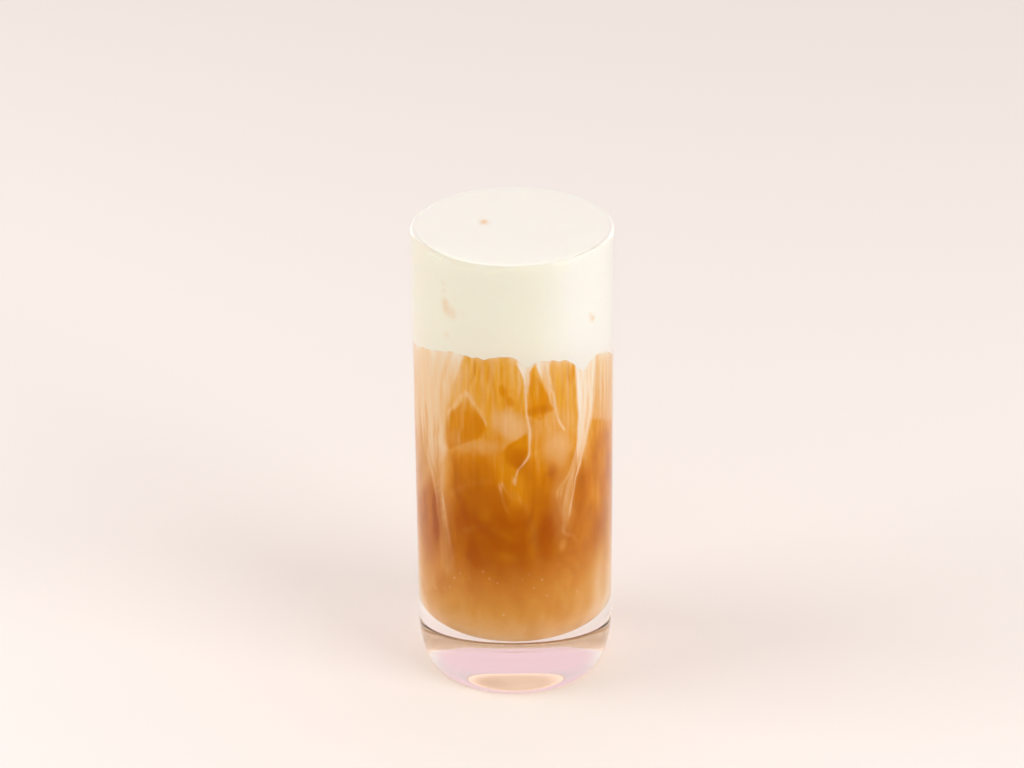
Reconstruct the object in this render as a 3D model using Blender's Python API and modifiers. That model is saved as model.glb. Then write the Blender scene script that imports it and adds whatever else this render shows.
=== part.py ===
"""Salted foam oolong tea in a tall straight glass.

Three solids on one upright axis: the glass with its thick rounded base, the tea
that fills the glass up to the foam, and the layer of salted milk foam, whose
underside sags into the tea in waves and drips. Metres, +Z up, with the origin at
the middle of the foot. The front of the glass faces -Y.
"""
import math

import bpy

MM = 0.001

# Glass: outside
GLASS_HEIGHT = 150.0 * MM
GLASS_RADIUS = 31.1 * MM
WALL = 1.9 * MM
HEEL_HEIGHT = 17.0 * MM
HEEL_INSET = 4.8 * MM

# Glass: degrees down the heel's ellipse at which it stands on the table
HEEL_END = 78.0

# Glass: the hollow under the foot, a shallow bell on the axis with a broad crown
PUNT_RADIUS = 22.5 * MM
PUNT_DEPTH = 2.6 * MM
PUNT_BREADTH = 1.3

# Glass: floor of the inside, dished in the middle and rounded up into the wall
FLOOR_HEIGHT = 17.0 * MM
FLOOR_DISH = 1.0 * MM
FLOOR_FILLET = 13.0 * MM

# Contents
CLEARANCE = 0.3 * MM
FOAM_EDGE_HEIGHT = 149.5 * MM
FOAM_CROWN = 0.6 * MM
FOAM_EDGE_ROUND = 0.6 * MM

# Underside of the foam: mean level at the wall and in the middle, then its waves
# along the wall as (times round, height, angle of the crest in degrees)
UNDERSIDE_AT_WALL = 113.6 * MM
UNDERSIDE_IN_MIDDLE = 115.5 * MM
WAVES = (
    (1, 4.2 * MM, -102.0),
    (2, 1.9 * MM, -100.0),
    (7, 0.45 * MM, 18.0),
    (11, 0.30 * MM, 5.0),
)
# Drips along the wall as (angle, length, half width in degrees); -90 is the front
DRIPS = (
    (-82.5, 2.8 * MM, 5.0),
    (-45.5, 3.6 * MM, 6.5),
    (-8.0, 2.0 * MM, 6.0),
    (34.0, 3.2 * MM, 6.0),
    (78.0, 2.6 * MM, 5.0),
    (121.0, 3.4 * MM, 7.0),
    (163.0, 2.4 * MM, 5.5),
)

# Facets
GLASS_STEPS = 64
LAYER_STEPS = 96
FLOOR_POINTS = 3
FILLET_POINTS = 7
RIM_POINTS = 4
HEEL_POINTS = 7
PUNT_POINTS = 7
CROWN_POINTS = 3
EDGE_POINTS = 2
UNDERSIDE_RINGS = 6
MERGE_DISTANCE = 0.02 * MM
SHARP_ANGLE = 40.0

INNER_RADIUS = GLASS_RADIUS - WALL
FLOOR_RADIUS = INNER_RADIUS - FLOOR_FILLET
LAYER_RADIUS = INNER_RADIUS - CLEARANCE


def clear_scene():
    """Remove whatever the scene holds."""
    for obj in list(bpy.data.objects):
        bpy.data.objects.remove(obj, do_unlink=True)


def arc(centre, radii, start, end, count):
    """Points on an ellipse quarter or half, start and end in degrees, both included."""
    points = []
    for i in range(count + 1):
        angle = math.radians(start + (end - start) * i / count)
        x = centre[0] + radii[0] * math.cos(angle)
        z = centre[1] + radii[1] * math.sin(angle)
        points.append((x, z))
    return points


def floor_profile(lift):
    """The inside floor from the axis out and up to the wall, moved inwards by lift."""
    points = []
    for i in range(FLOOR_POINTS):
        share = i / FLOOR_POINTS
        z = FLOOR_HEIGHT + lift - FLOOR_DISH * (1.0 - share * share)
        points.append((FLOOR_RADIUS * share, z))
    centre = (FLOOR_RADIUS, FLOOR_HEIGHT + FLOOR_FILLET)
    radius = FLOOR_FILLET - lift
    return points + arc(centre, (radius, radius), -90.0, 0.0, FILLET_POINTS)


def punt_profile():
    """The underside from the foot ring in to the axis, a cosine bell of share ** breadth."""
    points = []
    for i in range(PUNT_POINTS + 1):
        share = 1.0 - i / PUNT_POINTS
        z = PUNT_DEPTH * 0.5 * (1.0 + math.cos(math.pi * share ** PUNT_BREADTH))
        points.append((PUNT_RADIUS * share, z))
    return points


def glass_profile():
    """Up the inside, over the rim, down the outside and under the foot."""
    lip = WALL / 2.0
    rim = arc((GLASS_RADIUS - lip, GLASS_HEIGHT - lip), (lip, lip), 180.0, 0.0, RIM_POINTS)
    heel_centre = (GLASS_RADIUS - HEEL_INSET, HEEL_HEIGHT)
    heel_radii = (HEEL_INSET, HEEL_HEIGHT / math.sin(math.radians(HEEL_END)))
    heel = arc(heel_centre, heel_radii, 0.0, -HEEL_END, HEEL_POINTS)
    return floor_profile(0.0) + rim + heel + punt_profile()


def foam_underside(radius, angle):
    """Height of the foam's underside at a radius and an angle round the axis."""
    at_wall = UNDERSIDE_AT_WALL
    for times, height, crest in WAVES:
        at_wall += height * math.cos(times * (angle - math.radians(crest)))
    share = radius / LAYER_RADIUS
    level = UNDERSIDE_IN_MIDDLE + (at_wall - UNDERSIDE_IN_MIDDLE) * share * share
    for place, length, half_width in DRIPS:
        turn = math.remainder(angle - math.radians(place), math.tau)
        nearness = math.exp(-(turn / math.radians(half_width)) ** 2)
        level -= length * nearness * share ** 6
    return level


def wavy_face_profile():
    """The face between tea and foam from the axis out, still flat, denser at the wall."""
    points = []
    for i in range(UNDERSIDE_RINGS + 1):
        share = 1.0 - (1.0 - i / UNDERSIDE_RINGS) ** 1.5
        points.append((LAYER_RADIUS * share, UNDERSIDE_IN_MIDDLE))
    return points


def tea_profile():
    """Out over the top, down the wall and in along the floor."""
    return wavy_face_profile() + floor_profile(CLEARANCE)[::-1]


def foam_profile():
    """Out over the crown, down the wall and in along the underside."""
    crown = []
    for i in range(CROWN_POINTS):
        share = i / CROWN_POINTS
        crown.append((LAYER_RADIUS * share, FOAM_EDGE_HEIGHT + FOAM_CROWN * (1.0 - share ** 2)))
    edge_centre = (LAYER_RADIUS - FOAM_EDGE_ROUND, FOAM_EDGE_HEIGHT - FOAM_EDGE_ROUND)
    edge = arc(edge_centre, (FOAM_EDGE_ROUND, FOAM_EDGE_ROUND), 90.0, 0.0, EDGE_POINTS)
    return crown + edge + wavy_face_profile()[::-1]


def cover(obj, name, colour, roughness, transmission=0.0):
    """Give the solid its own non-metal material."""
    made = bpy.data.materials.new(name)
    made.use_nodes = True
    shader = made.node_tree.nodes["Principled BSDF"]
    shader.inputs["Base Color"].default_value = (*colour, 1.0)
    shader.inputs["Roughness"].default_value = roughness
    shader.inputs["Metallic"].default_value = 0.0
    shader.inputs["Transmission Weight"].default_value = transmission
    obj.data.materials.append(made)


def turned(name, profile, steps, collection):
    """A closed solid turned round the axis from an open profile that ends on it."""
    mesh = bpy.data.meshes.new(name)
    points = [(x, 0.0, z) for x, z in profile]
    edges = [(i, i + 1) for i in range(len(points) - 1)]
    mesh.from_pydata(points, edges, [])
    obj = bpy.data.objects.new(name, mesh)
    collection.objects.link(obj)
    screw = obj.modifiers.new("Turn", "SCREW")
    screw.axis = "Z"
    screw.steps = steps
    screw.render_steps = steps
    screw.use_merge_vertices = True
    screw.merge_threshold = MERGE_DISTANCE
    screw.use_smooth_shade = True
    return obj


def settle(obj, gap):
    """Make the solid a mesh and lay its flat face along the foam's underside.

    Each point of that face takes the underside's height at its radius and angle, less
    the gap. The rest stays as turned.
    """
    graph = bpy.context.evaluated_depsgraph_get()
    mesh = bpy.data.meshes.new_from_object(obj.evaluated_get(graph))
    obj.modifiers.clear()
    obj.data = mesh
    for vertex in mesh.vertices:
        x, y, z = vertex.co
        if abs(z - UNDERSIDE_IN_MIDDLE) < MERGE_DISTANCE:
            vertex.co.z = foam_underside(math.hypot(x, y), math.atan2(y, x)) - gap
    mesh.shade_smooth()
    mesh.set_sharp_from_angle(angle=math.radians(SHARP_ANGLE))


def build():
    clear_scene()
    collection = bpy.data.collections.new("salted_foam_oolong_tea")
    bpy.context.scene.collection.children.link(collection)

    glass = turned("glass", glass_profile(), GLASS_STEPS, collection)
    tea = turned("tea", tea_profile(), LAYER_STEPS, collection)
    foam = turned("foam", foam_profile(), LAYER_STEPS, collection)
    settle(tea, CLEARANCE)
    settle(foam, 0.0)

    cover(glass, "clear_glass", (0.93, 0.95, 0.94), 0.02, transmission=1.0)
    cover(tea, "milky_oolong_tea", (0.56, 0.25, 0.06), 0.25)
    cover(foam, "salted_milk_foam", (0.93, 0.87, 0.76), 0.55)


build()
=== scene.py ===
import math

import bpy
import numpy as np
from mathutils import Euler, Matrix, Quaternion, Vector


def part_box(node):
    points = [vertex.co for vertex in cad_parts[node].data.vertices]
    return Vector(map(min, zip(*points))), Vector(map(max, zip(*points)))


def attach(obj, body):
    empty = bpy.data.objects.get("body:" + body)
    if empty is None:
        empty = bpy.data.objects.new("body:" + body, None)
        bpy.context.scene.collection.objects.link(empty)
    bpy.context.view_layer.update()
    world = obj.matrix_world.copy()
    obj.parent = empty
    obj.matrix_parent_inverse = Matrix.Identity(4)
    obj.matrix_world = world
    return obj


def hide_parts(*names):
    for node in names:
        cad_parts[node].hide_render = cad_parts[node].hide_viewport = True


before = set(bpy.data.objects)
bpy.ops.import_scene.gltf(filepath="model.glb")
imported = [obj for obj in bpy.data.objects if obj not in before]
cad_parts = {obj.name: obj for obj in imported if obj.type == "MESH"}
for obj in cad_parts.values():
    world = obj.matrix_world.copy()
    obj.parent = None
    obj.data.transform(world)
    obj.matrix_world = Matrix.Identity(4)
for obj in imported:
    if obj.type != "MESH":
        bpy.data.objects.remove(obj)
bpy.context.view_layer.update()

MM = 0.001

# Glass, from the frame and the sizes that the solids were made with
GLASS_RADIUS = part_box("glass")[1].x
GLASS_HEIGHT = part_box("glass")[1].z
WALL = 1.9 * MM
HEEL_HEIGHT = 17.0 * MM
HEEL_INSET = 4.8 * MM
# Degrees down the heel's ellipse at which it stands on the table
HEEL_END = 78.0
# The hollow under the foot
PUNT_RADIUS = 22.5 * MM
PUNT_DEPTH = 2.6 * MM
PUNT_BREADTH = 1.3
# The inside floor, dished in the middle and rounded up into the wall
FLOOR_HEIGHT = 17.0 * MM
FLOOR_DISH = 1.0 * MM
FLOOR_FILLET = 13.0 * MM
INNER_RADIUS = GLASS_RADIUS - WALL
# One degree round the inside of the wall, in mm
DEGREE = math.radians(1.0) * INNER_RADIUS / MM

# The contents reach just into the wall, so that no air shows between them
REACH = 0.05 * MM
TEA_RADIUS = INNER_RADIUS + REACH
FOAM_RADIUS = INNER_RADIUS + 2.0 * REACH
TEA_UNDER_FOAM = 1.2 * MM

# Foam: its top and the dimples there, and the film that laps over the rim
FOAM_EDGE_HEIGHT = 149.5 * MM
FOAM_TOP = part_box("foam")[1].z
DIMPLE = 0.035 * MM
FILM = 0.08 * MM
# The groove just inside the rim: its depth, then its place and width as shares of the top's radius
GROOVE = 0.55 * MM
GROOVE_AT = 0.974
GROOVE_WIDTH = 0.011

# Underside of the foam: mean level at the wall and in the middle, then its waves along the wall
# as (times round, height, angle of the crest in degrees), as in the solids
UNDERSIDE_AT_WALL = 113.6 * MM
UNDERSIDE_IN_MIDDLE = 115.5 * MM
WAVES = (
    (1, 4.2 * MM, -102.0),
    (2, 1.9 * MM, -100.0),
    (7, 0.45 * MM, 18.0),
    (11, 0.30 * MM, 5.0),
)
# Height of the finest waves, which the solids leave out
FINE_WAVE = 0.09 * MM
# Drips along the wall as (angle, length, half width in degrees)
DRIPS = (
    (-82.5, 2.8 * MM, 5.0),
    (-45.5, 3.6 * MM, 6.5),
    (-8.0, 2.0 * MM, 6.0),
    (34.0, 3.2 * MM, 6.0),
    (78.0, 2.6 * MM, 5.0),
    (121.0, 3.4 * MM, 7.0),
    (163.0, 2.4 * MM, 5.5),
)
# Angle of the front round the axis, in degrees
FRONT = -90.0

# Columns round each piece, and rows down the sides of foam and tea
GLASS_COLUMNS = 256
FOAM_COLUMNS = 480
TEA_COLUMNS = 448
FOAM_ROWS = 72
TEA_ROWS = 186

# Radius of the ice cubes' edges where their distance is taken, and reach of the paleness round them
ICE_ROUND = 3.0 * MM
ICE_HALO = 1.8 * MM
# Ice cubes as (angle from the front, distance from the axis, height, side, turn about each axis),
# in degrees and mm
ICE = (
    (-2.0, 20.0, 96.5, 15.0, (6.0, -8.0, -2.0)),
    (-27.0, 17.5, 84.0, 16.0, (12.0, 20.0, -20.0)),
    (27.0, 19.5, 87.0, 14.0, (8.0, 15.0, 30.0)),
    (58.0, 18.0, 102.0, 15.0, (25.0, 10.0, 70.0)),
    (88.0, 19.0, 88.0, 16.0, (10.0, 12.0, 85.0)),
    (122.0, 19.5, 97.0, 15.0, (8.0, -10.0, 118.0)),
    (153.0, 18.0, 85.0, 16.0, (15.0, 22.0, 140.0)),
    (-172.0, 19.5, 96.0, 15.0, (-9.0, 8.0, 190.0)),
    (-138.0, 18.5, 84.0, 15.0, (14.0, -12.0, 215.0)),
    (-105.0, 19.5, 97.5, 16.0, (6.0, 16.0, 250.0)),
    (-70.0, 18.5, 88.0, 15.0, (18.0, -6.0, 290.0)),
)

# The still tea as (height in mm, how dark, how milky) from the floor up
BREW = (
    (16.0, 0.16, 1.00),
    (19.0, 0.30, 0.84),
    (22.0, 0.36, 0.66),
    (27.0, 0.46, 0.56),
    (35.0, 0.62, 0.44),
    (42.0, 0.76, 0.26),
    (48.0, 0.90, 0.10),
    (54.0, 1.00, 0.00),
    (62.0, 1.00, 0.00),
    (70.0, 0.82, 0.00),
    (78.0, 0.62, 0.00),
    (83.0, 0.50, 0.04),
    (88.0, 0.30, 0.06),
    (95.0, 0.18, 0.00),
    (104.0, 0.12, 0.00),
    (120.0, 0.08, 0.00),
)

# What is drawn on the front is drawn again round the glass, at (centre, across, drop, reach):
# across stretches it, drop lowers it in mm, and reach is how far from its centre it holds, in
# degrees
DRAWN = (
    (0.0, 1.0, 0.0, 82.0),
    (131.0, 0.75, 2.0, 49.0),
    (-131.0, 0.75, -1.5, 49.0),
)

# Soft patches as (angle, height, half width in degrees, half height in mm, lean in degrees a mm,
# darker by, milkier by)
PATCHES = (
    (-1.0, 96.6, 10.5, 5.4, -0.5, -0.08, 0.50),
    (-21.0, 88.5, 15.0, 3.2, 3.0, 0.00, 0.24),
    (26.0, 86.6, 9.5, 5.4, 0.0, -0.08, 0.40),
    (24.0, 95.0, 13.0, 6.0, 0.0, 0.00, 0.22),
    (-1.5, 76.5, 9.5, 8.5, -0.7, -0.24, 0.00),
    (3.0, 56.0, 16.0, 9.0, 0.0, -0.08, 0.00),
    (-21.0, 67.0, 8.0, 5.0, 0.0, -0.12, 0.00),
    (-35.5, 56.5, 6.0, 8.0, 0.0, -0.20, -0.06),
    (11.0, 60.0, 5.0, 8.0, 0.0, -0.12, 0.00),
    (43.0, 69.0, 5.0, 6.0, 0.0, 0.14, -0.08),
    (53.0, 69.0, 4.0, 7.0, 0.0, 0.04, -0.22),
    (-51.5, 86.0, 3.5, 10.0, 0.0, 0.08, -0.22),
    (12.5, 72.0, 6.0, 7.0, 0.0, -0.06, 0.00),
    (-37.0, 112.5, 8.5, 8.5, 0.0, 0.00, 0.26),
    (-46.0, 100.0, 1.8, 9.0, 0.0, 0.10, -0.35),
    (-54.5, 103.0, 1.4, 8.0, 0.0, 0.04, -0.20),
    (-23.0, 96.5, 4.5, 4.5, 0.0, 0.14, 0.00),
    (-36.5, 90.5, 4.0, 3.5, 0.0, 0.00, 0.22),
    (15.0, 100.9, 7.5, 1.6, 0.0, 0.24, 0.00),
    (10.5, 97.3, 1.6, 1.8, 0.0, 0.20, 0.00),
    (-24.5, 113.5, 1.6, 4.6, 0.4, 0.30, -0.10),
    (-21.0, 111.0, 1.0, 5.0, 0.2, 0.16, 0.00),
    (-14.5, 113.0, 1.8, 3.6, 0.0, 0.26, 0.00),
    (-10.5, 109.0, 1.0, 5.0, 0.0, 0.10, 0.00),
    (-5.8, 108.6, 2.4, 2.0, 0.0, 0.28, 0.00),
    (-1.5, 105.0, 2.4, 1.8, 0.0, 0.26, 0.00),
    (-6.0, 114.5, 1.2, 3.0, 0.0, 0.12, 0.00),
    (34.0, 112.0, 3.0, 3.4, 0.0, 0.24, 0.00),
    (29.0, 109.0, 1.2, 5.0, 0.0, 0.12, 0.00),
    (23.0, 80.0, 3.4, 2.4, 0.0, 0.22, 0.10),
    (30.0, 68.0, 8.0, 15.0, 0.0, -0.16, 0.45),
    (30.0, 52.5, 2.6, 2.2, 0.0, -0.26, 0.20),
    (-43.0, 72.0, 5.0, 14.0, 0.0, -0.26, 0.14),
    (-53.5, 62.0, 4.5, 12.0, 0.0, 0.20, -0.26),
    (-61.0, 60.0, 5.0, 7.0, 0.0, -0.12, 0.00),
    (-62.8, 90.0, 3.4, 9.0, 0.0, 0.22, -0.34),
    (-50.5, 87.0, 3.0, 9.0, 0.0, 0.06, -0.22),
    (-70.0, 92.0, 2.2, 11.0, 0.0, 0.14, -0.22),
    (47.0, 83.0, 5.0, 9.0, -0.6, -0.10, 0.30),
    (48.0, 62.0, 15.0, 10.0, 0.0, -0.32, 0.10),
    (42.0, 42.0, 24.0, 14.0, 0.0, -0.20, 0.12),
    (64.0, 68.0, 11.0, 12.0, 0.0, -0.30, -0.10),
)

# Regions of the tea between the streaks as (darker by, milkier by, softness of the edge in mm, rows
# of height, angle and half width in degrees)
REGIONS = (
    (-0.20, 0.34, 3.2, ((86, -49, 7), (78, -49.5, 6), (70, -49, 4.4), (60, -48, 3.8), (50, -46.5, 3.2),
                        (43, -45, 3.0), (41, -45, 1))),
    (0.05, -0.06, 0.8, ((82, -24, 12.5), (80, -24, 14), (74, -24.5, 14), (68, -25, 11), (64, -25, 6))),
    (-0.12, 0.70, 3.0, ((123, -66, 24), (112, -66, 21), (107.5, -65, 23), (102, -63, 20), (96, -63, 19),
                        (90, -64, 20), (84, -64, 17.5), (79, -65, 14), (74, -70, 13), (68, -76, 12))),
    (-0.14, 0.16, 2.0, ((76, -60, 2), (73, -60, 7.5), (68, -61, 10), (60, -62, 12), (50, -64, 15),
                        (42, -66, 15), (34, -68, 12))),
    (0.20, -0.10, 0.6, ((105.6, -28.6, 0.3), (104.2, -28.6, 2.6), (102, -29, 6.0), (99, -30, 10.3),
                        (95.5, -30.6, 12.6), (92, -32, 10.8), (89.3, -36, 6.2), (86.8, -40, 2.2),
                        (85.5, -41, 0.2))),
    (0.22, -0.50, 0.8, ((93.5, 7.2, 0.4), (92, 5, 3), (90, 1.8, 5.8), (87.5, 0.8, 6.8), (85, 1.4, 5.0),
                        (83, 2, 2.8), (81.5, 2.6, 0.4))),
    (0.18, -0.06, 0.6, ((114, 12.6, 0.3), (110, 13.0, 3.6), (106, 14.4, 5.8), (102, 16, 7.8),
                        (100, 16.2, 7.6), (99, 16, 4))),
    (0.00, 0.50, 3.0, ((116, 68, 14), (108, 68, 14), (100, 68, 14.5), (94, 68, 15), (90.5, 72, 10))),
    (0.04, -0.30, 1.2, ((93, 51, 1), (91.2, 56, 7), (88, 62, 13), (84, 66, 17), (78, 67, 18),
                       (72, 70, 17), (66, 73, 12))),
    (-0.22, 0.34, 4.0, ((62, 74, 8), (57, 72, 10), (52, 72, 12), (44, 72, 15), (36, 70, 16), (24, 70, 16))),
)

# Plumes of cream, which hang from the foam and draw together as they sink, as rows of
# (height, angle, half width in degrees, cream)
PLUMES = (
    ((119.0, -54.0, 24.0, 0.82), (112.0, -56.0, 20.0, 0.46), (106.0, -57.0, 17.5, 0.36),
     (98.0, -57.0, 14.5, 0.32), (90.0, -56.5, 12.0, 0.30), (82.0, -56.0, 9.4, 0.28),
     (76.0, -53.5, 6.2, 0.32), (70.0, -51.2, 4.0, 0.38), (62.0, -49.0, 3.6, 0.34),
     (54.0, -46.6, 4.4, 0.22), (46.0, -44.4, 5.2, 0.13), (38.0, -43.4, 5.0, 0.0)),
    ((118.0, 46.0, 9.5, 1.00), (107.0, 46.5, 8.0, 0.92), (98.0, 46.3, 6.6, 0.82),
     (92.0, 45.0, 5.0, 0.70), (86.0, 42.6, 3.6, 0.60), (80.0, 40.0, 3.0, 0.42),
     (74.0, 36.5, 3.2, 0.30), (68.0, 33.5, 3.4, 0.24), (62.0, 32.0, 2.4, 0.20),
     (57.0, 31.0, 1.2, 0.0)),
    ((117.5, 8.5, 5.2, 1.00), (114.5, 8.4, 2.2, 0.95), (110.0, 8.4, 1.1, 0.70), (104.0, 8.3, 0.6, 0.0)),
    ((118.0, 18.0, 4.6, 0.95), (114.0, 18.6, 2.8, 0.70), (108.0, 21.0, 2.0, 0.38), (100.0, 24.0, 1.2, 0.0)),
)

# Curtains of fine streaks under the foam as (angle, half width, lowest height, cream)
CURTAINS = (
    (-38.0, 9.0, 102.0, 0.20),
    (-14.0, 13.0, 104.0, 0.16),
    (3.0, 5.0, 104.0, 0.26),
    (29.0, 8.0, 99.0, 0.22),
    (66.0, 10.0, 95.0, 0.40),
    (-72.0, 8.0, 88.0, 0.50),
)

# Strands of cream as (half width in mm at the top and at the end, cream at the top and at the end,
# points of angle and height)
STRANDS = (
    (0.44, 0.32, 0.70, 0.45, ((8.5, 115), (8.3, 105), (8.2, 101), (9.3, 97), (9.3, 90), (8.0, 86),
                              (5.0, 83.2), (2.0, 81.5), (0.3, 79.2))),
    (0.60, 0.40, 0.45, 0.30, ((-0.4, 78.4), (-0.6, 77.2), (-0.2, 76.4))),
    (0.52, 0.34, 0.70, 0.45, ((18.5, 116), (20.5, 110), (23.0, 105), (25.0, 100), (26.5, 96), (30, 93))),
    (0.50, 0.32, 0.50, 0.30, ((16.5, 115), (18.5, 109), (21.5, 104), (23.3, 101))),
    (0.55, 0.44, 0.70, 0.16, ((38.4, 117), (39.4, 107), (40.4, 100), (41.0, 92), (40.2, 86), (37.2, 82),
                              (33.0, 77), (29.0, 75), (26.5, 72), (27.5, 67))),
    (0.75, 0.50, 0.85, 0.34, ((54.6, 115), (53.9, 104), (52.2, 97), (49.2, 91.5), (45.4, 86),
                              (42.4, 81), (39.2, 75), (36.8, 69), (34.0, 62.5))),
    (0.60, 0.44, 0.30, 0.20, ((39.5, 79), (35.0, 77.4), (31.5, 75.5), (29.0, 72), (28.5, 66), (31, 61.5))),
    (0.80, 0.60, 0.24, 0.16, ((31.0, 62), (30.2, 58), (33.0, 55.8), (36.8, 55), (39.5, 52.4))),
    (0.90, 1.40, 0.40, 0.06, ((-29.5, 106.6), (-35.6, 103.6), (-40.4, 99.5), (-43.2, 94), (-43.8, 88),
                              (-46.2, 80), (-47.2, 72), (-46.4, 63), (-45.6, 55), (-44.6, 46))),
    (0.60, 1.40, 0.40, 0.05, ((-60.0, 88), (-57.0, 81), (-52.5, 75), (-50.2, 69), (-49.6, 60), (-48.4, 52),
                              (-46.6, 43))),
    (1.10, 0.60, 0.36, 0.22, ((-29.0, 106), (-26, 104.2), (-22, 101.6), (-17, 96.5))),
    (0.95, 0.50, 0.28, 0.16, ((-30.5, 105), (-31.0, 99.5), (-32.5, 94), (-34.0, 89.5))),
    (0.50, 0.40, 0.24, 0.14, ((-9.2, 76.5), (-7.4, 71.5), (-4.2, 66.8))),
    (0.50, 0.40, 0.20, 0.12, ((-7.6, 77), (-4.8, 73.5), (-1.2, 71.2))),
    (0.90, 1.30, 0.12, 0.08, ((0.5, 73), (5.0, 69.5), (9.0, 65), (12.0, 60), (13.8, 54), (14.2, 49))),
    (0.80, 0.70, 0.10, 0.08, ((-40.0, 70), (-31, 74), (-22, 76.5), (-14, 77.5))),
    (0.70, 0.60, 0.09, 0.07, ((-32.0, 58.5), (-22, 61), (-12, 60.3))),
    (0.80, 0.70, 0.30, 0.15, ((-57.0, 114), (-57.5, 100), (-57, 88), (-55, 79))),
    (0.70, 0.60, 0.26, 0.14, ((-50.0, 114), (-50.8, 100), (-50.5, 90), (-49, 80))),
    (0.60, 0.50, 0.30, 0.15, ((45.5, 112), (46.0, 100), (44.6, 90), (41.0, 80), (35.5, 70))),
)
# Of the strands, these are sharp enough to be bodies of their own in front of the painted ones, with
# this share of their half width and at most this half depth
SHARP = (0, 2, 5)
SHARP_WIDTH = 0.30
SHARP_DEPTH = 0.03 * MM

# Spots in the foam as (angle, height, half width in mm, strength)
FOAM_SPOTS = (
    (-39.7, 132.7, 1.9, 0.85),
    (-42.0, 134.6, 1.5, 0.45),
    (-44.0, 141.0, 0.7, 0.30),
    (-43.6, 138.6, 0.6, 0.26),
    (-37.0, 131.2, 1.0, 0.35),
    (-35.0, 136.6, 0.7, 0.20),
    (-29.0, 132.4, 0.8, 0.16),
    (-41.6, 124.1, 1.1, 0.32),
    (52.2, 127.2, 1.0, 1.00),
    (50.8, 128.6, 0.8, 0.55),
    (118.0, 135.0, 1.2, 0.55),
    (160.0, 126.5, 0.8, 0.40),
    (-160.0, 139.0, 1.0, 0.45),
    (-104.0, 129.5, 1.3, 0.50),
)
# The spot on top as (x, y, half width, half depth in mm)
TOP_SPOT = (-8.6, 3.2, 1.0, 1.9)

# Milk bubbles: how many, their lowest height and how far up they reach, least and greatest radius
BUBBLES = 80
BUBBLES_FROM = 29.0
BUBBLES_UP = 19.0
BUBBLE_RADII = (0.16 * MM, 0.30 * MM)


def srgb(code):
    """The linear colour of an sRGB hex code."""
    values = [int(code[i:i + 2], 16) / 255.0 for i in (0, 2, 4)]
    return tuple([v / 12.92 if v <= 0.04045 else ((v + 0.055) / 1.055) ** 2.4 for v in values] + [1.0])


def behind_glass(code):
    """The pigment that shows as an sRGB hex colour where it lies against the inside of the glass.

    The glass throws a share s of the light from it back on it, so a pigment a shows as
    d = (1 - s) a / (1 - s a), and the pigment for d is a = d / (1 - s + s d).
    """
    back = 0.19
    return tuple([d / (1.0 - back + back * d) for d in srgb(code)[:3]] + [1.0])


def add(tree, kind, settings=None, links=None):
    """Add one node. Settings are its properties, links its sockets, by name or number."""
    node = tree.nodes.new(kind)
    for key, value in (settings or {}).items():
        setattr(node, key, value)
    for key, value in (links or {}).items():
        if isinstance(value, bpy.types.NodeSocket):
            tree.links.new(value, node.inputs[key])
        else:
            node.inputs[key].default_value = value
    return node


def new_material(name):
    """A material with only its Principled shader, and its node tree."""
    made = bpy.data.materials.new(name)
    made.use_nodes = True
    return made, made.node_tree, made.node_tree.nodes["Principled BSDF"]


def smooth(low, high, value):
    """0 at low and before, 1 at high and beyond, and 3t^2 - 2t^3 between, also for high < low."""
    t = np.clip((value - low) / (high - low), 0.0, 1.0)
    return t * t * (3.0 - 2.0 * t)


def bell(value, middle, width):
    """exp(-((value - middle) / width)^2)."""
    return np.exp(-((value - middle) / width) ** 2)


def turn_from(angle, centre):
    """Degrees from a centre angle, from -180 to 180."""
    return (angle - centre + 180.0) % 360.0 - 180.0


def ripple(angle, height, seed, round_from, round_to, along, count=14):
    """Sum of cos(k a + w h + p) over whole numbers k, so that it closes round the glass.

    k lies between round_from and round_to, w between -along and along in radians a mm, and p
    is any phase. The sum is scaled to a spread of about 1.
    """
    draw = np.random.default_rng(seed)
    total = np.zeros(np.broadcast(angle, height).shape)
    for _ in range(count):
        times = draw.integers(round_from, round_to + 1)
        rise = draw.uniform(-along, along)
        phase = draw.uniform(0.0, 2.0 * math.pi)
        total = total + np.cos(times * np.radians(angle) + rise * height + phase)
    return total * math.sqrt(2.0 / count)


def arc(centre, radii, start, end, count):
    """Points c + r (cos t, sin t) for t from start to end in degrees, as an array."""
    t = np.radians(np.linspace(start, end, count))
    return np.stack([centre[0] + radii[0] * np.cos(t), centre[1] + radii[1] * np.sin(t)], 1)


def line(start, end, count):
    """Points evenly spaced from start to end, without the last."""
    t = np.linspace(0.0, 1.0, count, endpoint=False)[:, None]
    return np.asarray(start) * (1.0 - t) + np.asarray(end) * t


def columns(count):
    """Angles round the axis in radians, one for each column."""
    return np.linspace(0.0, 2.0 * math.pi, count, endpoint=False)


def ring_faces(rows, count):
    """Triangles at both poles and quads between, for rings whose ends are single points."""
    j = np.arange(count)
    k = (j + 1) % count
    end = 1 + (rows - 3) * count
    first = np.stack([np.zeros(count, int), 1 + j, 1 + k], 1)
    last = np.stack([end + j, np.full(count, end + count), end + k], 1)
    start = (1 + np.arange(rows - 3) * count)[:, None]
    quads = np.stack([start + j, start + count + j, start + count + k, start + k], -1).reshape(-1, 4)
    return np.concatenate([first, last]), quads


def in_a_row(rings):
    """The points or values of rings one after another, the first and last ring as one each."""
    return np.concatenate([rings[:1, 0], rings[1:-1].reshape(-1, *rings.shape[2:]), rings[-1:, 0]])


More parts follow.
